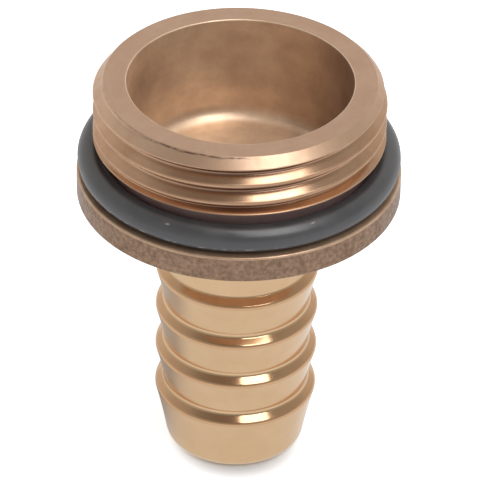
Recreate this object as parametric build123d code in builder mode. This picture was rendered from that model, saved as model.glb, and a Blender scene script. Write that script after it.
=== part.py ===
from build123d import *
import os

# Hose barb tail: a one-piece turned body with a barbed hose end, a flange and a male threaded collar,
# and the rubber sealing ring that sits on the flange round the foot of the thread. Millimetres.
# The origin is the centre of the nose end. +Z runs up the waterway, from the nose to the threaded end.
os.makedirs("parts", exist_ok=True)

# Driving dimensions

# Barbed end, for a hose of 13 mm bore
barb_count = 4
barb_pitch = 4.37
barb_crest_d = 14.8
barb_height = 0.77
barb_step_height = 0.65

# Waterway, drilled right through
tail_wall = 2.13  # between the waterway and the foot of a barb
bore_edge_break = 0.2

# Nose, below the lowest barb
nose_length = 5.75
nose_wall = 1.75
nose_round = 0.9

# Plain neck, from the top barb to the flange
neck_length = 8.03
neck_cone = 1.5

# Male collar: 3/4 parallel pipe thread above a relief groove
thread_major_d = 26.44
thread_length = 4.4
thread_lead_in = 1.05
relief_depth = 1.27
relief_bevel = 0.65

# Sealing ring, of round section, in the relief groove
ring_section_d = 2.5
ring_clearance = 0.05  # between the ring and the groove, on the radius
ring_headroom = 0.45  # between the ring and the bevel under the thread

# Flange
flange_thickness = 2.5
flange_margin = 0.07  # beyond the sealing ring, on the radius
flange_edge_break = 0.2

# Cup bored into the threaded end
collar_wall = 1.85  # between the cup and the relief groove
cup_floor_thickness = 1.12
cup_floor_fillet = 1.4
cup_edge_break = 0.15

# Radii
crest_r = barb_crest_d / 2
valley_r = crest_r - barb_height
bore_r = valley_r - tail_wall
nose_end_r = bore_r + nose_wall
thread_r = thread_major_d / 2
relief_r = thread_r - relief_depth
cup_r = relief_r - collar_wall
ring_centre_r = relief_r + ring_clearance + ring_section_d / 2
flange_r = ring_centre_r + ring_section_d / 2 + flange_margin

# Heights above the nose end
crest_heights = [nose_length + barb * barb_pitch for barb in range(barb_count)]
flange_bottom_z = crest_heights[-1] + neck_length
flange_top_z = flange_bottom_z + flange_thickness
relief_top_z = flange_top_z + ring_section_d + ring_headroom
thread_bottom_z = relief_top_z + relief_bevel
thread_top_z = thread_bottom_z + thread_length
rim_z = thread_top_z + thread_lead_in
cup_floor_z = flange_bottom_z + cup_floor_thickness

MATCH = 1e-4  # how closely an edge must lie at the place it is picked by


def turned_edges(solid, radius, heights):
    """Circular edges of a turned part that have this radius, at any of these heights."""
    circles = solid.edges().filter_by(GeomType.CIRCLE)
    same_radius = circles.filter_by(lambda edge: abs(edge.radius - radius) < MATCH)
    return same_radius.filter_by(lambda edge: min(abs(edge.arc_center.Z - z) for z in heights) < MATCH)


# Body: half of its section, revolved about the waterway
with BuildPart() as hose_tail_body:
    with BuildSketch(Plane.XZ):
        with BuildLine():
            Line((bore_r, 0), (nose_end_r, 0))
            Line((nose_end_r, 0), (crest_r, crest_heights[0]))
            # Each barb falls back in a short cone that faces the flange, so that the hose can't slip off,
            # and a long ramp leads the hose up to the next crest.
            for crest_z, next_crest_z in zip(crest_heights, crest_heights[1:]):
                valley = (valley_r, crest_z + barb_step_height)
                Line((crest_r, crest_z), valley)
                Line(valley, (crest_r, next_crest_z))
            Polyline(
                (crest_r, crest_heights[-1]),
                (valley_r, crest_heights[-1] + barb_step_height),
                (valley_r, flange_bottom_z),
                (flange_r, flange_bottom_z),
                (flange_r, flange_top_z),
                (relief_r, flange_top_z),
                (relief_r, relief_top_z),
                (thread_r, thread_bottom_z),
                (thread_r, thread_top_z),
                (thread_r - thread_lead_in, rim_z),
                (cup_r, rim_z),
                (cup_r, cup_floor_z),
                (bore_r, cup_floor_z),
                (bore_r, 0),
            )
        make_face()
    revolve(axis=Axis.Z)
    fillet(turned_edges(hose_tail_body, nose_end_r, [0]), nose_round)
    fillet(turned_edges(hose_tail_body, cup_r, [cup_floor_z]), cup_floor_fillet)
    chamfer(turned_edges(hose_tail_body, valley_r, [flange_bottom_z]), neck_cone)
    chamfer(turned_edges(hose_tail_body, flange_r, [flange_bottom_z, flange_top_z]), flange_edge_break)
    chamfer(turned_edges(hose_tail_body, cup_r, [rim_z]), cup_edge_break)
    chamfer(turned_edges(hose_tail_body, bore_r, [0, cup_floor_z]), bore_edge_break)
hose_tail_body.part.label = "hose_tail_body"
export_step(hose_tail_body.part, "parts/hose_tail_body.step")

# Sealing ring: lies on the flange, round the relief groove
with BuildPart() as sealing_ring:
    with BuildSketch(Plane.XZ):
        with Locations((ring_centre_r, flange_top_z + ring_section_d / 2)):
            Circle(ring_section_d / 2)
    revolve(axis=Axis.Z)
sealing_ring.part.label = "sealing_ring"
export_step(sealing_ring.part, "parts/sealing_ring.step")
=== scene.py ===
import math

import bpy
import numpy as np
from mathutils import Matrix, Vector


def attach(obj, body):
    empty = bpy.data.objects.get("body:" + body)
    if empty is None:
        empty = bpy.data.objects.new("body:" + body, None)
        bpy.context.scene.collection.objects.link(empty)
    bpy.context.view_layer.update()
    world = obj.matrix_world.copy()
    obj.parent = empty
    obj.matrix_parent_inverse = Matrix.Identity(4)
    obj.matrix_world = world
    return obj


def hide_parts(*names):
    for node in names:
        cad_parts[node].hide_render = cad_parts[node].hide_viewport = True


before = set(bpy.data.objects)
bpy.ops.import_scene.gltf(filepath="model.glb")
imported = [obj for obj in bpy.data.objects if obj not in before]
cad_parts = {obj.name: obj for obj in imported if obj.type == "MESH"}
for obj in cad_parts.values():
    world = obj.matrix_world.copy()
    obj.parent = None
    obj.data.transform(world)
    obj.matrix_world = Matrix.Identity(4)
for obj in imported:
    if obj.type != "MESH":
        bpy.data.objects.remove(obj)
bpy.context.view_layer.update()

# ---------------------------------------------------------------------------------------------------
# Body. One piece of gunmetal bar or casting, turned all over but for the rim of its flange: a barbed
# tail for the hose, a flange, and a collar with a male pipe thread round an open cup. The waterway is
# drilled right through. The thread is cut last, from the rim down to the groove over the flange.
# ---------------------------------------------------------------------------------------------------

# Sizes in millimetres, heights from the nose end up. Those of the barbs are of the corners before rounding.
MM = 0.001
BORE_R = 4.5
NOSE_END_R = 6.25
FIRST_CREST_Z = 5.75
BARB_COUNT = 4
BARB_PITCH = 4.37
CREST_R = 7.46
VALLEY_R = 6.63
STEP_HEIGHT = 0.72
BARB_HOLLOW = 0.045
NECK_FLARE = 1.5
FLANGE_R = 14.57
FLANGE_BOTTOM = 26.89
FLANGE_TOP = 29.39
RELIEF_R = 11.95
RELIEF_TOP = 32.34
THREAD_R = 13.22
THREAD_BOTTOM = 32.99
LEAD_IN = 1.05
RIM_Z = 38.44
CUP_R = 10.1
CUP_FLOOR = 28.01

# Radii that round the corners. EDGE_ROUND breaks the plain edges.
NOSE_ROUND = 0.9
CREST_ROUND = 0.45
VALLEY_ROUND = 0.4
FLARE_FOOT_ROUND = 1.2
FLARE_TOP_ROUND = 0.5
EDGE_ROUND = 0.2
RELIEF_ROUND = 0.15
CUP_EDGE_ROUND = 0.12
CUP_FILLET = 1.4

# 3/4 parallel pipe thread, right-handed, 14 turns to the inch. It is cut wider and shallower than the full
# form, and its crests stand a little under the bar it is cut from.
PITCH = 25.4 / 14
THREAD_CREST_R = 13.10
HALF_ANGLE = math.radians(40)
FORM_R = 0.25
FORM_CUT = FORM_R / math.sin(HALF_ANGLE) - FORM_R
THREAD_DEPTH = PITCH / 2 / math.tan(HALF_ANGLE) - 2 * FORM_CUT
FRONT_CREST_Z = 35.90
RUN_OUT = 0.45

# How fine the mesh is: columns round it, millimetres between the thread's rows, and rows between the ends of
# a barb and of the cup's wall. An arc has ARC_LEAST rows or more, ARC_STEP degrees apart, and ARC_MORE are
# added for each mm of its radius.
COLUMNS = 280
THREAD_ROW = 0.042
BARB_ROWS = 7
CUP_ROWS = 9
ARC_LEAST = 3
ARC_STEP = 15
ARC_MORE = 3
HOLD = 0.035
HOLD_SHARE = 0.25
SPREAD = (0.12, 0.88)


def run(start, end, between, hollow):
    """Points (radius, height) of a straight run. Two of them hold its ends flat: they stand HOLD from each
    end, or HOLD_SHARE of a short run. Any others are spread over SPREAD of it. With a hollow, the run bows in
    by hollow * 4t(1 - t), t being the share of the way along it."""
    start, end = np.array(start, float), np.array(end, float)
    way = end - start
    length = np.linalg.norm(way)
    near = min(HOLD / length, HOLD_SHARE)
    share = np.concatenate(([0, near], np.linspace(*SPREAD, between), [1 - near, 1]))
    out = np.array([way[1], -way[0]]) / length
    return start + share[:, None] * way - hollow * (4 * share * (1 - share))[:, None] * out


def bend(corner, before, after, radius):
    """Points on the arc of this radius that rounds the corner between two straight runs."""
    into = (before - corner) / np.linalg.norm(before - corner)
    out = (after - corner) / np.linalg.norm(after - corner)
    half = math.acos(np.clip(into @ out, -1, 1)) / 2
    centre = corner + (into + out) / np.linalg.norm(into + out) * radius / math.sin(half)
    first = corner + into * radius / math.tan(half) - centre
    last = corner + out * radius / math.tan(half) - centre
    turn = math.atan2(first[0] * last[1] - first[1] * last[0], first @ last)
    steps = round(math.degrees(abs(turn)) / ARC_STEP) + int(ARC_MORE * radius)
    count = max(ARC_LEAST, steps + 1)
    angle = math.atan2(first[1], first[0]) + turn * np.linspace(0, 1, count)
    return centre + radius * np.column_stack((np.cos(angle), np.sin(angle)))


def outline(corners):
    """The outline through corners (radius, height, rounding, finish), as points and the finish of each. A
    finish holds from its corner to the next."""
    at = np.array([corner[:2] for corner in corners], float)
    points, finishes = [], []
    last = at[0]
    for index in range(1, len(corners)):
        finish = corners[index - 1][3]
        rounding = corners[index][2]
        if rounding:
            arc = bend(at[index], at[index - 1], at[index + 1], rounding)
        else:
            arc = at[index][None]
        if finish == "collar":
            heights = np.arange(last[1], arc[0][1], THREAD_ROW)
            straight = np.column_stack((np.full(len(heights), THREAD_R), heights))
        else:
            between = {"barb": BARB_ROWS, "cup": CUP_ROWS}.get(finish, 0)
            hollow = BARB_HOLLOW if finish == "barb" else 0.0
            straight = run(last, arc[0], between, hollow)[:-1]
        points += [straight, arc[:-1]]
        finishes += [finish] * len(straight) + [corners[index][3]] * (len(arc) - 1)
        last = arc[-1]
    return np.vstack(points), finishes


def groove(height, angle):
    """Depth of the thread below its crests: the distance from the nearest crest of the helix, put through the
    form of round crest, straight flank and round root. It runs out to nothing at the lower end."""
    turns = (height - FRONT_CREST_Z) / PITCH - (angle + math.pi / 2) / (2 * math.pi)
    from_crest = np.abs(turns - np.round(turns)) * PITCH
    from_root = PITCH / 2 - from_crest
    round_reach = FORM_R * math.cos(HALF_ANGLE)
    crest = FORM_R - np.sqrt(np.maximum(FORM_R**2 - from_crest**2, 0))
    root = THREAD_DEPTH - FORM_R + np.sqrt(np.maximum(FORM_R**2 - from_root**2, 0))
    flank = from_crest / math.tan(HALF_ANGLE) - FORM_CUT
    depth = np.where(from_crest < round_reach, crest, np.where(from_root < round_reach, root, flank))
    kept = np.clip((height - THREAD_BOTTOM) / RUN_OUT, 0, 1)
    return depth * kept * (2 - kept)


def collar_radius(height, angle):
    """Radius of the collar: the thread, cut down to the cone of the lead-in above and of the relief below."""
    lead_in = THREAD_R - LEAD_IN + (RIM_Z - height)
    bevel = RELIEF_R + (height - RELIEF_TOP) * (THREAD_R - RELIEF_R) / (THREAD_BOTTOM - RELIEF_TOP)
    return np.minimum(THREAD_CREST_R - groove(height, angle), np.minimum(lead_in, bevel))


def barb_corners():
    """The corners of the barbs, a crest and the foot of its step for each. The last foot begins the neck."""
    corners = []
    for barb in range(BARB_COUNT):
        crest_z = FIRST_CREST_Z + barb * BARB_PITCH
        after = "neck" if barb == BARB_COUNT - 1 else "barb"
        corners.append((CREST_R, crest_z, CREST_ROUND, "step"))
        corners.append((VALLEY_R, crest_z + STEP_HEIGHT, VALLEY_ROUND, after))
    return corners


bore_middle = (BORE_R, CUP_FLOOR / 2, 0, "bore")
corners = [
    bore_middle,
    (BORE_R, 0, EDGE_ROUND, "face"),
    (NOSE_END_R, 0, NOSE_ROUND, "barb"),
    *barb_corners(),
    (VALLEY_R, FLANGE_BOTTOM - NECK_FLARE, FLARE_FOOT_ROUND, "neck"),
    (VALLEY_R + NECK_FLARE, FLANGE_BOTTOM, FLARE_TOP_ROUND, "face"),
    (FLANGE_R, FLANGE_BOTTOM, EDGE_ROUND, "cast"),
    (FLANGE_R, FLANGE_TOP, EDGE_ROUND, "face"),
    (RELIEF_R, FLANGE_TOP, RELIEF_ROUND, "relief"),
    (RELIEF_R, RELIEF_TOP, 0, "collar"),
    (THREAD_R - LEAD_IN, RIM_Z, 0, "rim"),
    (CUP_R, RIM_Z, CUP_EDGE_ROUND, "cup"),
    (CUP_R, CUP_FLOOR, CUP_FILLET, "floor"),
    (BORE_R, CUP_FLOOR, EDGE_ROUND, "bore"),
    bore_middle,
]
profile, finishes = outline(corners)

# The profile closes on its first point, so the point just before that is left out.
profile, finishes = profile[:-1], finishes[:-1]


def turned(profile, finishes):
    """The surface of revolution of the profile, as (rows, columns, 3) in metres. The collar's rows take their
    radius from the thread at each angle, and so does the outer edge of the rim that they end at."""
    angle = np.linspace(0, 2 * math.pi, COLUMNS, endpoint=False)
    radius = np.repeat(profile[:, :1], COLUMNS, axis=1)
    height = np.repeat(profile[:, 1:], COLUMNS, axis=1)
    collar = np.flatnonzero(np.array(finishes) == "collar")
    edge = collar[-1] + 1
    rows = np.append(collar, edge)
    radius[rows] = collar_radius(height[rows], angle)
    radius[edge + 1] = radius[edge] - HOLD
    return np.stack((radius * np.cos(angle), radius * np.sin(angle), height), -1) * MM


# Marks, with strengths 0 to 1: duller crests on the thread, painted shade in its roots and at its foot, a
# painted shadow line under the burr of the rim, and in the cup painted shade on the right and a stain. Widths
# and heights are in mm, depths are shares of the thread's full depth, and ripples are as ripple() takes them.
# The painted shade in the cup is turned by radians. The stain's place and width round the cup are in degrees
# from the right, and the ends and fades of the burr's shadow line in degrees from the front.
SLACK = 0.01
CREST_DEPTH = 0.2
ROOT_STRENGTH = 0.75
ROOT_DEPTH = 0.5
ROOT_SPAN = 0.45
ROOT_POWER = 6
FOOT_STRENGTH = 0.7
FOOT_LOW = 0.07
FOOT_HIGH = 0.75
FOOT_FADE = 0.2
FOOT_POWER = 8
SIDE_SHARE = 0.05
FRONT = -math.pi / 2
BURR_DROP = 0.11
BURR_WIDTH = 0.05
BURR_WAVES = ((0.025, 23, 0), (0.015, 61, 1))
BURR_LEFT = -85
BURR_LEFT_START = -52
BURR_LEFT_FADE = 20
BURR_LEFT_SHARE = 0.4
BURR_RIGHT = 8
BURR_RIGHT_FADE = 6
BURR_UNEVEN = 0.35
BURR_RIPPLE = (97, 3, 31)
WALL_SLACK = 0.05
WALL_START = 0.3
RIGHT_SHADE_STRENGTH = 0.8
RIGHT_SHADE_TURN = 0.2
RIGHT_SHADE_SWING = 1.3
RIGHT_SHADE_CUT = 0.1
STAIN_STRENGTH = 0.45
STAIN_TURN = 152
STAIN_Z = 34
STAIN_WIDTH = 20
STAIN_HEIGHT = 3.2
STAIN_WAVE = 0.6
STAIN_WAVES = 5


def degrees_from(place, angle):
    """Degrees from this place round a circle to each angle, from -180 to 180. Both are given in radians."""
    return np.degrees(np.angle(np.exp(1j * (angle - place))))


def ripple(angle, waves, sway=0, sway_waves=0):
    """A sine with this many waves round a circle, put out of step by sway * sine of (sway_waves * angle)."""
    return np.sin(waves * angle + sway * np.sin(sway_waves * angle))


def painted_thread_shade(height, radius, angle, depth, on_thread):
    """Painted shade on the thread. In the roots it is a smooth step of the depth. At the foot, just over the
    ring, it holds from FOOT_LOW over the lower edge and fades out up to FOOT_HIGH. Each falls to SIDE_SHARE
    at the sides, by its power of the sine of the angle."""
    # Painted shade in the roots of the thread.
    share = np.clip((depth - ROOT_DEPTH) / ROOT_SPAN, 0, 1)
    root_shade = ROOT_STRENGTH * share**2 * (3 - 2 * share) * on_thread
    root_shade *= SIDE_SHARE + (1 - SIDE_SHARE) * np.sin(angle) ** ROOT_POWER
    # Painted shade at the foot of the thread, just over the ring.
    above_edge = height - THREAD_BOTTOM
    foot_shade = FOOT_STRENGTH * np.clip((FOOT_HIGH - above_edge) / FOOT_FADE, 0, 1)
    foot_shade *= SIDE_SHARE + (1 - SIDE_SHARE) * np.sin(angle) ** FOOT_POWER
    return np.maximum(root_shade, foot_shade * (above_edge > FOOT_LOW) * (radius > RELIEF_R))


def painted_burr_shadow(height, radius, angle):
    """The painted shadow line under the rim, where a burr is folded over: a bell curve of the distance from a
    wavy line, times a ripple that breaks it up. It is on the front left, fainter to the left, and fades to
    the right.
    BURR_WAVES gives the waves of the line: size, waves round the rim, and shift."""
    from_front = degrees_from(FRONT, angle)
    wander = sum(size * np.sin(waves * angle + shift) for size, waves, shift in BURR_WAVES)
    from_line = (RIM_Z - BURR_DROP - height + wander) / BURR_WIDTH
    line = np.exp(-(from_line**2)) * (radius > RELIEF_R)
    reach = np.clip((from_front - BURR_LEFT_START) / BURR_LEFT_FADE, BURR_LEFT_SHARE, 1)
    reach *= np.clip((BURR_RIGHT - from_front) / BURR_RIGHT_FADE, 0, 1) * (from_front > BURR_LEFT)
    broken = 1 - BURR_UNEVEN + BURR_UNEVEN * ripple(angle, *BURR_RIPPLE)
    return line * reach * broken


def cup_shade_and_stain(height, radius, angle):
    """Marks on the wall of the cup: painted shade on the right, by the cosine of the angle, and a stain on
    the left, a bell curve both ways that waves up and down."""
    # Painted shade: the right side of the cup's wall is darkened by the cosine of the angle.
    swing = RIGHT_SHADE_SWING * np.cos(angle + RIGHT_SHADE_TURN) - RIGHT_SHADE_CUT
    tarnish = RIGHT_SHADE_STRENGTH * np.clip(swing, 0, 1)
    across = (np.degrees(angle) - STAIN_TURN) / STAIN_WIDTH
    up = (height - STAIN_Z + STAIN_WAVE * np.sin(STAIN_WAVES * angle)) / STAIN_HEIGHT
    stain = STAIN_STRENGTH * np.exp(-(across**2) - up**2)
    on_wall = (radius < CUP_R + WALL_SLACK) * (height > CUP_FLOOR + WALL_START)
    return np.maximum(tarnish, stain) * on_wall


def crest_shade_and_stain(points):
    """Two marks for each point. Crest is 1 - depth / CREST_DEPTH on the thread, and 0 where that is below 0.
    The second is the most of the painted shade on the thread, the painted shadow line under the rim, and the
    painted shade and the stain in the cup."""
    angle = np.arctan2(points[..., 1], points[..., 0])
    height = points[..., 2] / MM
    radius = np.hypot(points[..., 0], points[..., 1]) / MM
    cut = groove(height, angle)
    on_thread = np.abs(radius - (THREAD_CREST_R - cut)) < SLACK
    depth = cut / THREAD_DEPTH
    crest = np.clip(1 - depth / CREST_DEPTH, 0, 1) * on_thread
    shade_and_stain = painted_thread_shade(height, radius, angle, depth, on_thread)
    shade_and_stain = np.maximum(shade_and_stain, painted_burr_shadow(height, radius, angle))
    return crest, np.maximum(shade_and_stain, cup_shade_and_stain(height, radius, angle))


def ring_faces(rows, columns):
    """The quads of a grid that closes on itself both ways, wound so that they face outwards."""
    row, column = np.meshgrid(np.arange(rows), np.arange(columns), indexing="ij")
    next_row, next_column = (row + 1) % rows, (column + 1) % columns
    quads = (row * columns + column, row * columns + next_column,
             next_row * columns + next_column, next_row * columns + column)
    return np.stack(quads, -1).reshape(-1, 4)


def closed_piece(name, points, marks, materials, row_materials=0):
    """A smooth mesh object through a grid of points that closes both ways. marks holds values for each point
    by name, and row_materials numbers the material of each row of faces."""
    rows, columns = points.shape[:2]
    mesh = bpy.data.meshes.new(name)
    mesh.from_pydata(points.reshape(-1, 3).tolist(), [], ring_faces(rows, columns).tolist())
    mesh.polygons.foreach_set("use_smooth", np.ones(rows * columns, bool))
    numbers = np.repeat(np.broadcast_to(row_materials, rows), columns)
    mesh.polygons.foreach_set("material_index", numbers.astype(np.int32))
    mesh.update()
    for mark_name, values in marks.items():
        attribute = mesh.attributes.new(mark_name, "FLOAT", "POINT")
        attribute.data.foreach_set("value", values.reshape(-1).astype(np.float32))
    for material in materials:
        mesh.materials.append(material)
    piece = bpy.data.objects.new(name, mesh)
    bpy.context.scene.collection.objects.link(piece)
    return piece


def colour(red, green, blue):
    """A display colour, 0 to 255, as the linear colour that a shader takes."""
    share = np.array([red, green, blue]) / 255
    linear = np.where(share <= 0.04045, share / 12.92, ((share + 0.055) / 1.055) ** 2.4)
    return (*linear.tolist(), 1.0)


def node(tree, kind, inputs=None, **settings):
    """A new node of a tree. inputs holds its plain values and the sockets that feed it, by name or number."""
    made = tree.nodes.new(kind)
    for name, value in settings.items():
        setattr(made, name, value)
    for key, value in (inputs or {}).items():
        if isinstance(value, bpy.types.NodeSocket):
            tree.links.new(value, made.inputs[key])
        else:
            made.inputs[key].default_value = value
    return made


def math_node(tree, operation, *values):
    """The output of a Math node fed by these values."""
    return node(tree, "ShaderNodeMath", dict(enumerate(values)), operation=operation).outputs[0]


def from_to(tree, value, start, end, interpolation="LINEAR"):
    """The value taken from the range start to the range end, and held at its ends."""
    inputs = {"Value": value}
    inputs["From Min"], inputs["From Max"] = start
    inputs["To Min"], inputs["To Max"] = end
    return node(tree, "ShaderNodeMapRange", inputs, interpolation_type=interpolation).outputs[0]


def mix(tree, share, first, second, kind="RGBA"):
    """The output of a Mix node: first where share is 0, second where it is 1. FLOAT mixes plain values."""
    inputs = {"Factor": share, "A": first, "B": second}
    return node(tree, "ShaderNodeMix", inputs, data_type=kind).outputs["Result"]


def mark(tree, name):
    """The value of a mark of the mesh."""
    return node(tree, "ShaderNodeAttribute", attribute_name=name).outputs["Fac"]


def empty_material(name):
    """A node material with nothing in it, its tree, and the place on the piece that its patterns take."""
    made = bpy.data.materials.new(name)
    made.use_nodes = True
    made.node_tree.nodes.clear()
    place = node(made.node_tree, "ShaderNodeTexCoord").outputs["Object"]
    return made, made.node_tree, place


def empty_group(name, inputs, outputs):
    """A node group with a Vector, these inputs and their defaults, and these outputs, all plain values."""
    group = bpy.data.node_groups.new(name, "ShaderNodeTree")
    group.interface.new_socket("Vector", in_out="INPUT", socket_type="NodeSocketVector")
    for socket, default in inputs.items():
        made = group.interface.new_socket(socket, in_out="INPUT", socket_type="NodeSocketFloat")
        made.default_value = default
    for socket in outputs:
        group.interface.new_socket(socket, in_out="OUTPUT", socket_type="NodeSocketFloat")
    return group, node(group, "NodeGroupInput").outputs


# The two layers of the turning marks, the fine one and the streak: share of the rings per mm, and detail.
MARK_LAYERS = ((1.0, 3.0), (0.22, 2.0))


def make_turning_marks():
    """Node group: the marks that a lathe leaves. Noise on (distance from the axis + height) makes rings, and
    a little of the place round the axis breaks them up. It puts out their height and a slower streak, each
    0 to 1."""
    group, given = empty_group("turning_marks", {"Rings per mm": 8, "Break up": 0.1}, ("Height", "Streak"))
    place = node(group, "ShaderNodeSeparateXYZ", {0: given["Vector"]})
    flat = node(group, "ShaderNodeCombineXYZ", {0: place.outputs[0], 1: place.outputs[1]})
    radius = node(group, "ShaderNodeVectorMath", {0: flat.outputs[0]}, operation="LENGTH").outputs["Value"]
    scale = math_node(group, "MULTIPLY", given["Rings per mm"], 1 / MM)
    around = math_node(group, "MULTIPLY", given["Break up"], 1 / MM)
    results = []
    for share, detail in MARK_LAYERS:
        rings = math_node(group, "MULTIPLY", scale, share)
        across = math_node(group, "MULTIPLY", math_node(group, "ADD", radius, place.outputs[2]), rings)
        along_x = math_node(group, "MULTIPLY", place.outputs[0], around)
        along_y = math_node(group, "MULTIPLY", place.outputs[1], around)
        ring_place = node(group, "ShaderNodeCombineXYZ", {0: across, 1: along_x, 2: along_y}).outputs[0]
        noise = {"Vector": ring_place, "Scale": 1.0, "Detail": detail, "Roughness": 0.6}
        results.append(node(group, "ShaderNodeTexNoise", noise).outputs[0])
    node(group, "NodeGroupOutput", {"Height": results[0], "Streak": results[1]})
    return group


def make_mottle():
    """Node group: uneven tarnish. The middle third of a noise of this patch size, with finer noise on it, is
    spread over 0 to 1."""
    group, given = empty_group("mottle", {"Patch mm": 2}, ("Mask",))
    scale = math_node(group, "DIVIDE", 1 / MM, given["Patch mm"])
    noise = {"Vector": given["Vector"], "Scale": scale, "Detail": 5.0, "Roughness": 0.62}
    coarse = node(group, "ShaderNodeTexNoise", noise).outputs[0]
    node(group, "NodeGroupOutput", {"Mask": from_to(group, coarse, (0.33, 0.67), (0, 1))})
    return group


CREST_ROUGHNESS = 0.45
GRAIN_PER_MM = 4.0
# The colour of the painted shade and of the stain.
SHADE_AND_STAIN_COLOUR = colour(103, 78, 71)
turning_marks = make_turning_marks()
mottle = make_mottle()


def bronze(name, clean, tarnished, roughness, rings_per_mm, mark_depth, patch_mm, tarnish,
           break_up=0.1, grain=0.0, metal=1.0):
    """One finish of the bronze. The mottle and the turning streaks move the roughness and, times tarnish, mix
    the clean and the tarnished colour. The turning marks, and for a casting its grain, are its bump,
    mark_depth mm deep. The thread's crests are duller, and the painted shade and the stain are brown."""
    made, tree, place = empty_material(name)
    rings = {"Vector": place, "Rings per mm": rings_per_mm, "Break up": break_up}
    marks = node(tree, "ShaderNodeGroup", rings, node_tree=turning_marks)
    patches = node(tree, "ShaderNodeGroup", {"Vector": place, "Patch mm": patch_mm}, node_tree=mottle)
    both = math_node(tree, "ADD", patches.outputs["Mask"], marks.outputs["Streak"])
    mixed = mix(tree, math_node(tree, "MULTIPLY", both, tarnish), clean, tarnished)
    rough = from_to(tree, both, (0, 2), roughness)
    rough = mix(tree, mark(tree, "crest"), rough, CREST_ROUGHNESS, "FLOAT")
    # The painted shade and the stain, by their mark, turn the colour brown.
    mixed = mix(tree, mark(tree, "shade_and_stain"), mixed, SHADE_AND_STAIN_COLOUR)
    height = marks.outputs["Height"]
    if grain:
        noise = {"Vector": place, "Scale": GRAIN_PER_MM / MM, "Detail": 4.0}
        grit = node(tree, "ShaderNodeTexNoise", noise).outputs[0]
        height = math_node(tree, "ADD", height, math_node(tree, "MULTIPLY", grit, grain))
    bump = node(tree, "ShaderNodeBump", {"Height": height, "Strength": 1.0, "Distance": mark_depth * MM})
    shader = node(tree, "ShaderNodeBsdfPrincipled", {"Base Color": mixed, "Metallic": metal,
                                                     "Roughness": rough, "Normal": bump.outputs[0]})
    node(tree, "ShaderNodeOutputMaterial", {"Surface": shader.outputs[0]})
    return made


finish_materials = {
    "polished": bronze("polished_tail", colour(222, 189, 151), colour(209, 173, 134), roughness=(0.08, 0.2),
                       rings_per_mm=3.0, mark_depth=0.0006, patch_mm=3.0, tarnish=0.35),
    # Painted interreflection: the steps are a darker, redder copy of the polished finish, for the light that
    # bounces between them and the barbs' cones.
    "step": bronze("step_painted_interreflection", colour(216, 177, 139), colour(203, 161, 122), roughness=(0.1, 0.22),
                   rings_per_mm=3.0, mark_depth=0.0006, patch_mm=3.0, tarnish=0.35),
    "face": bronze("faced_flange", colour(225, 194, 164), colour(180, 144, 118), roughness=(0.28, 0.42),
                   rings_per_mm=9.0, mark_depth=0.004, patch_mm=2.0, tarnish=0.5, metal=0.6),
    "cast": bronze("as_cast_rim", colour(183, 152, 128), colour(104, 80, 64), roughness=(0.32, 0.48),
                   rings_per_mm=2.0, mark_depth=0.012, patch_mm=0.4, tarnish=0.5, break_up=0.5, grain=2.0),
    "relief": bronze("dull_relief", colour(176, 152, 152), colour(150, 126, 126), roughness=(0.45, 0.6),
                     rings_per_mm=9.0, mark_depth=0.002, patch_mm=1.5, tarnish=0.4, metal=0.25),
    "collar": bronze("cut_thread", colour(217, 181, 150), colour(184, 142, 112), roughness=(0.14, 0.26),
                     rings_per_mm=7.0, mark_depth=0.0008, patch_mm=2.5, tarnish=0.4),
    "lead_in": bronze("lead_in_cone", colour(225, 193, 166), colour(204, 166, 137), roughness=(0.34, 0.46),
                      rings_per_mm=12.0, mark_depth=0.0035, patch_mm=1.5, tarnish=0.4, break_up=0.8),
    "rim": bronze("turned_rim", colour(219, 185, 160), colour(196, 160, 134), roughness=(0.3, 0.42),
                  rings_per_mm=8.0, mark_depth=0.003, patch_mm=2.5, tarnish=0.4),
    "cup": bronze("bored_cup", colour(255, 228, 197), colour(194, 161, 135), roughness=(0.3, 0.44),
                  rings_per_mm=2.6, mark_depth=0.008, patch_mm=3.0, tarnish=0.45, break_up=0.05, metal=0.55),
}

# The lead-in is the top of the collar, and some other runs share a finish.
same_finish = {"barb": "polished", "neck": "polished", "floor": "cup", "bore": "cup"}
order = list(finish_materials)
row_materials = np.array([order.index(same_finish.get(finish, finish)) for finish in finishes])
on_lead_in = (np.array(finishes) == "collar") & (profile[:, 1] > RIM_Z - LEAD_IN)
row_materials[on_lead_in] = order.index("lead_in")

body_points = turned(profile, finishes)
# Marks of each point: the thread's crests, and the painted shade and the stain.
crest_marks, shade_and_stain_marks = crest_shade_and_stain(body_points)
body = closed_piece("hose_tail", body_points, {"crest": crest_marks, "shade_and_stain": shade_and_stain_marks},
                    finish_materials.values(), row_materials)
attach(body, "root")
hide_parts("hose_tail_body")

# ---------------------------------------------------------------------------------------------------
# Sealing ring. A moulded ring of black nitrile rubber of round section, pushed over the thread. It sits
# on the flange in the groove under the thread, and a thin line of flash runs round its lower outside.
# ---------------------------------------------------------------------------------------------------

RING_R = 13.25
SECTION_R = 1.25
RING_Z = FLANGE_TOP + SECTION_R
FLASH_ANGLE = math.radians(-24)
FLASH_WIDTH = math.radians(3.5)
FLASH_HEIGHT = 0.02
RING_COLUMNS = 320
RING_ROWS = 120

# Ripples, as ripple() takes them: how uneven the flash is, and the dust along it. DUST_SIDE gives the dust's
# share on each side of the ring: its middle, its swing, its turn in radians, its least and its most.
FLASH_UNEVEN = 0.3
FLASH_RIPPLE = (9, 2, 4)
DUST_RIPPLE = (83, 2, 19)
DUST_WAVES = 37
DUST_WAVES_SHARE = 0.6
DUST_CUT = 0.2
DUST_SIDE = (0.2, 1.4, 0.4, 0.05, 0.8)

# Specks of dust: degrees round, degrees up the section, and size. A speck is SPECK_LONG times its size round
# the ring and SPECK_HIGH times its size up the section, both in degrees of the section.
SPECKS = ((-116, 50, 1.3), (-131, 20, 0.9), (-62, 60, 1.0))
SPECK_LONG = 4
SPECK_HIGH = 2.5


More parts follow.
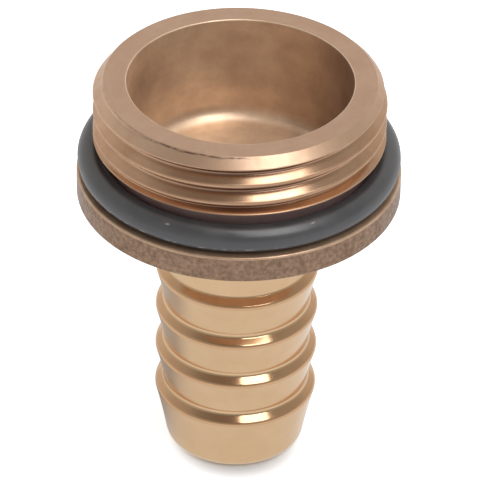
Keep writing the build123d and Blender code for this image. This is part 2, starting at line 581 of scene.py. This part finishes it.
def flashed_ring():
    """A torus, as (rows, columns, 3) in metres, and its dust, 0 to 1. The radius of its section grows by a
    narrow bell curve at the angle of the flash line, and is FLASH_HEIGHT less away from it. The dust on the
    line is that bell curve times the upper part of a fast ripple, most of it on the left. A speck is a bell
    curve both ways."""
    section = np.linspace(0, 2 * math.pi, RING_ROWS, endpoint=False)[:, None]
    around = np.linspace(0, 2 * math.pi, RING_COLUMNS, endpoint=False)
    away = np.radians(degrees_from(FLASH_ANGLE, section))
    uneven = 1 - FLASH_UNEVEN + FLASH_UNEVEN * ripple(around, *FLASH_RIPPLE)
    bell = np.exp(-((away / FLASH_WIDTH) ** 2))
    radius = SECTION_R - FLASH_HEIGHT + FLASH_HEIGHT * uneven * bell
    from_axis = RING_R + radius * np.cos(section)
    height = RING_Z + radius * np.sin(section)
    fast = ripple(around, *DUST_RIPPLE) + DUST_WAVES_SHARE * ripple(around, DUST_WAVES)
    middle, swing, side_turn, least, most = DUST_SIDE
    side = np.clip(middle - swing * np.cos(around - side_turn), least, most)
    dust = bell * np.clip(fast - DUST_CUT, 0, 1) * side
    for round_degrees, up_degrees, size in SPECKS:
        across = degrees_from(math.radians(round_degrees), around) * RING_R / SECTION_R
        up = degrees_from(math.radians(up_degrees), section)
        speck = np.exp(-((across / size / SPECK_LONG) ** 2) - (up / size / SPECK_HIGH) ** 2)
        dust = np.maximum(dust, speck)
    return np.stack((from_axis * np.cos(around), from_axis * np.sin(around), height), -1) * MM, dust


RUBBER_COLOUR = colour(63, 64, 67)
BLOOM_COLOUR = colour(72, 73, 76)
DUST_COLOUR = colour(176, 174, 170)
RUBBER_ROUGHNESS = (0.28, 0.38)
BLOOM_MM = 2.2
GRIT_PER_MM = 7.0
GRIT_DEPTH = 0.0015


def rubber():
    """Black rubber: nearly plain, with a bloom that greys it in patches, fine grit, and the marked dust."""
    made, tree, place = empty_material("nitrile_rubber")
    patches = node(tree, "ShaderNodeGroup", {"Vector": place, "Patch mm": BLOOM_MM}, node_tree=mottle)
    mask = patches.outputs["Mask"]
    bloom = mix(tree, mask, RUBBER_COLOUR, BLOOM_COLOUR)
    mixed = mix(tree, mark(tree, "dust"), bloom, DUST_COLOUR)
    rough = from_to(tree, mask, (0, 1), RUBBER_ROUGHNESS)
    noise = {"Vector": place, "Scale": GRIT_PER_MM / MM, "Detail": 3.0}
    grit = node(tree, "ShaderNodeTexNoise", noise).outputs[0]
    bump = node(tree, "ShaderNodeBump", {"Height": grit, "Strength": 1.0, "Distance": GRIT_DEPTH * MM})
    shader = node(tree, "ShaderNodeBsdfPrincipled", {"Base Color": mixed, "Roughness": rough,
                                                     "Normal": bump.outputs[0], "Specular IOR Level": 0.85})
    node(tree, "ShaderNodeOutputMaterial", {"Surface": shader.outputs[0]})
    return made


ring_points, ring_dust = flashed_ring()
ring = closed_piece("o_ring", ring_points, {"dust": ring_dust}, [rubber()])
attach(ring, "root")
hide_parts("sealing_ring")

# ---------------------------------------------------------------------------------------------------
# Studio. A white floor that keeps a soft shadow, a pale sky that is darkest overhead, a little to the front,
# and dimmer on the right, and one long softbox that leans from the front over the top, to the right.
# ---------------------------------------------------------------------------------------------------

# The floor's size is in metres, and its drop under the nose in mm. SHADED_WHITE is the share of plain white
# light that the metal sees, within and beyond SHADED_REACH of SHADED_SPOT. FOOT_LIFT is the floor's own
# light, within and beyond FOOT_REACH of FOOT_SPOT.
FLOOR_SIZE = 6.0
FLOOR_DROP = 0.01
SHADED_SPOT = (-13 * MM, 12 * MM, 0)
SHADED_REACH = (9 * MM, 19 * MM)
SHADED_WHITE = (0.05, 0.75)
FOOT_SPOT = (0.3 * MM, -2.3 * MM, 0)
FOOT_REACH = (3.6 * MM, 6.7 * MM)
FOOT_LIFT = (0.0, 0.7)
FLOOR_COLOUR = colour(234, 239, 245)
PLAIN_WHITE = (1, 1, 1, 1)


def by_distance(tree, place, spot, reach, values):
    """A value that changes smoothly with the distance from a spot."""
    away = node(tree, "ShaderNodeVectorMath", {0: place, 1: spot}, operation="DISTANCE").outputs["Value"]
    return from_to(tree, away, reach, values, "SMOOTHSTEP")


def floor_material():
    """White floor. Seen in the metal it is mostly plain white light, less where the part shades it, on the
    left and behind. Seen by the camera it is its own white, lifted by a little light of its own that fades
    out under the nose, so that it stays white and shows its shadow."""
    made, tree, place = empty_material("white_floor")
    path = node(tree, "ShaderNodeLightPath")
    paint = node(tree, "ShaderNodeBsdfDiffuse", {"Color": FLOOR_COLOUR}).outputs[0]
    white = node(tree, "ShaderNodeEmission", {"Color": PLAIN_WHITE, "Strength": 1.0}).outputs[0]
    plain = by_distance(tree, place, SHADED_SPOT, SHADED_REACH, SHADED_WHITE)
    share = math_node(tree, "MULTIPLY", path.outputs["Is Glossy Ray"], plain)
    reflected = node(tree, "ShaderNodeMixShader", {0: share, 1: paint, 2: white}).outputs[0]
    strength = by_distance(tree, place, FOOT_SPOT, FOOT_REACH, FOOT_LIFT)
    lift = node(tree, "ShaderNodeEmission", {"Color": PLAIN_WHITE, "Strength": strength}).outputs[0]
    lifted = node(tree, "ShaderNodeAddShader", {0: paint, 1: lift}).outputs[0]
    seen = node(tree, "ShaderNodeMixShader", {0: path.outputs["Is Camera Ray"], 1: reflected, 2: lifted})
    node(tree, "ShaderNodeOutputMaterial", {"Surface": seen.outputs[0]})
    return made


floor_mesh = bpy.data.meshes.new("floor")
half = FLOOR_SIZE / 2
floor_corners = [(-half, -half), (half, -half), (half, half), (-half, half)]
floor_mesh.from_pydata([(x, y, -FLOOR_DROP * MM) for x, y in floor_corners], [], [(0, 1, 2, 3)])
floor = bpy.data.objects.new("floor", floor_mesh)
bpy.context.scene.collection.objects.link(floor)
floor.data.materials.append(floor_material())

# The sky, by the cosine of the angle from its darkest direction: SKY_FAR from a right angle on, then levels
# of SKY_TINT, and SKY_DARK from SKY_NEAR up. It is dimmed on the right, by the x of the direction.
DARKEST = (0.0, -0.35, 0.94)
SKY_FAR = (0.78, 0.75, 0.72, 1)
SKY_LEVELS = ((0.25, 0.68), (0.34, 0.6), (0.68, 0.5), (0.82, 0.33))
SKY_TINT = (1.0, 0.96, 0.91)
SKY_NEAR = 0.95
SKY_DARK = (0.26, 0.225, 0.20, 1)
DIMMED_X = (0.5, 0.8)
DIMMED_SHARE = (1.0, 0.84)

world = bpy.data.worlds.new("studio")
bpy.context.scene.world = world
world.use_nodes = True
tree = world.node_tree
tree.nodes.clear()
direction = node(tree, "ShaderNodeTexCoord").outputs["Generated"]
towards_dark = node(tree, "ShaderNodeVectorMath", {0: direction, 1: DARKEST}, operation="DOT_PRODUCT")
sky = node(tree, "ShaderNodeValToRGB", {0: towards_dark.outputs["Value"]})
ramp = sky.color_ramp
ramp.elements[0].position, ramp.elements[0].color = 0.0, SKY_FAR
ramp.elements[1].position, ramp.elements[1].color = SKY_NEAR, SKY_DARK
for position, level in SKY_LEVELS:
    ramp.elements.new(position).color = (*(level * tint for tint in SKY_TINT), 1)
to_right = node(tree, "ShaderNodeSeparateXYZ", {0: direction}).outputs[0]
dimming = from_to(tree, to_right, DIMMED_X, DIMMED_SHARE)
dimmed = node(tree, "ShaderNodeVectorMath", {0: sky.outputs[0], "Scale": dimming}, operation="SCALE")
camera_ray = node(tree, "ShaderNodeLightPath").outputs["Is Camera Ray"]
seen = mix(tree, camera_ray, dimmed.outputs[0], PLAIN_WHITE)
background = node(tree, "ShaderNodeBackground", {"Color": seen, "Strength": 1.0})
node(tree, "ShaderNodeOutputWorld", {"Surface": background.outputs[0]})

# The softbox, in metres: its centre, the ways its width and its length run, its size, and its brightness.
SOFTBOX_CENTRE = (0.2, 0.005, 1.122)
SOFTBOX_WIDE = Vector((0.966, 0.257, 0.0)).normalized()
SOFTBOX_LONG = Vector((-0.189, 0.710, 0.678)).normalized()
SOFTBOX_SIZE = (0.45, 1.539)
SOFTBOX_RADIANCE = 3.7

softbox = bpy.data.lights.new("softbox", "AREA")
softbox.shape = "RECTANGLE"
softbox.size, softbox.size_y = SOFTBOX_SIZE
softbox.energy = SOFTBOX_RADIANCE * math.pi * SOFTBOX_SIZE[0] * SOFTBOX_SIZE[1]
softbox_object = bpy.data.objects.new("softbox", softbox)
bpy.context.scene.collection.objects.link(softbox_object)
axes = Matrix((SOFTBOX_WIDE, SOFTBOX_LONG, SOFTBOX_WIDE.cross(SOFTBOX_LONG))).transposed().to_4x4()
softbox_object.matrix_world = Matrix.Translation(SOFTBOX_CENTRE) @ axes

# ---------------------------------------------------------------------------------------------------
# Camera. A long lens, 35 degrees above level, turned by one degree. Its distance, target, lens and sensor
# are in mm, and its reach is in metres.
# ---------------------------------------------------------------------------------------------------

CAMERA_ELEVATION = math.radians(34.908)
CAMERA_ROLL = math.radians(1.0273)
CAMERA_DISTANCE = 398.553
CAMERA_TARGET = (0.2089, 0.0, 21.214)
CAMERA_LENS = 329.4
CAMERA_SENSOR = 36
CAMERA_REACH = 20

back = Vector((0, -math.cos(CAMERA_ELEVATION), math.sin(CAMERA_ELEVATION)))
level_right = Vector((1, 0, 0))
level_up = back.cross(level_right)
right = math.cos(CAMERA_ROLL) * level_right + math.sin(CAMERA_ROLL) * level_up
up = math.cos(CAMERA_ROLL) * level_up - math.sin(CAMERA_ROLL) * level_right
lens = bpy.data.cameras.new("camera")
lens.lens = CAMERA_LENS
lens.sensor_width = CAMERA_SENSOR
lens.clip_end = CAMERA_REACH
camera = bpy.data.objects.new("camera", lens)
bpy.context.scene.collection.objects.link(camera)
turn = Matrix((right, up, back)).transposed().to_4x4()
camera.matrix_world = Matrix.Translation((Vector(CAMERA_TARGET) + back * CAMERA_DISTANCE) * MM) @ turn
bpy.context.scene.camera = camera
bpy.context.scene.view_settings.view_transform = "Standard"
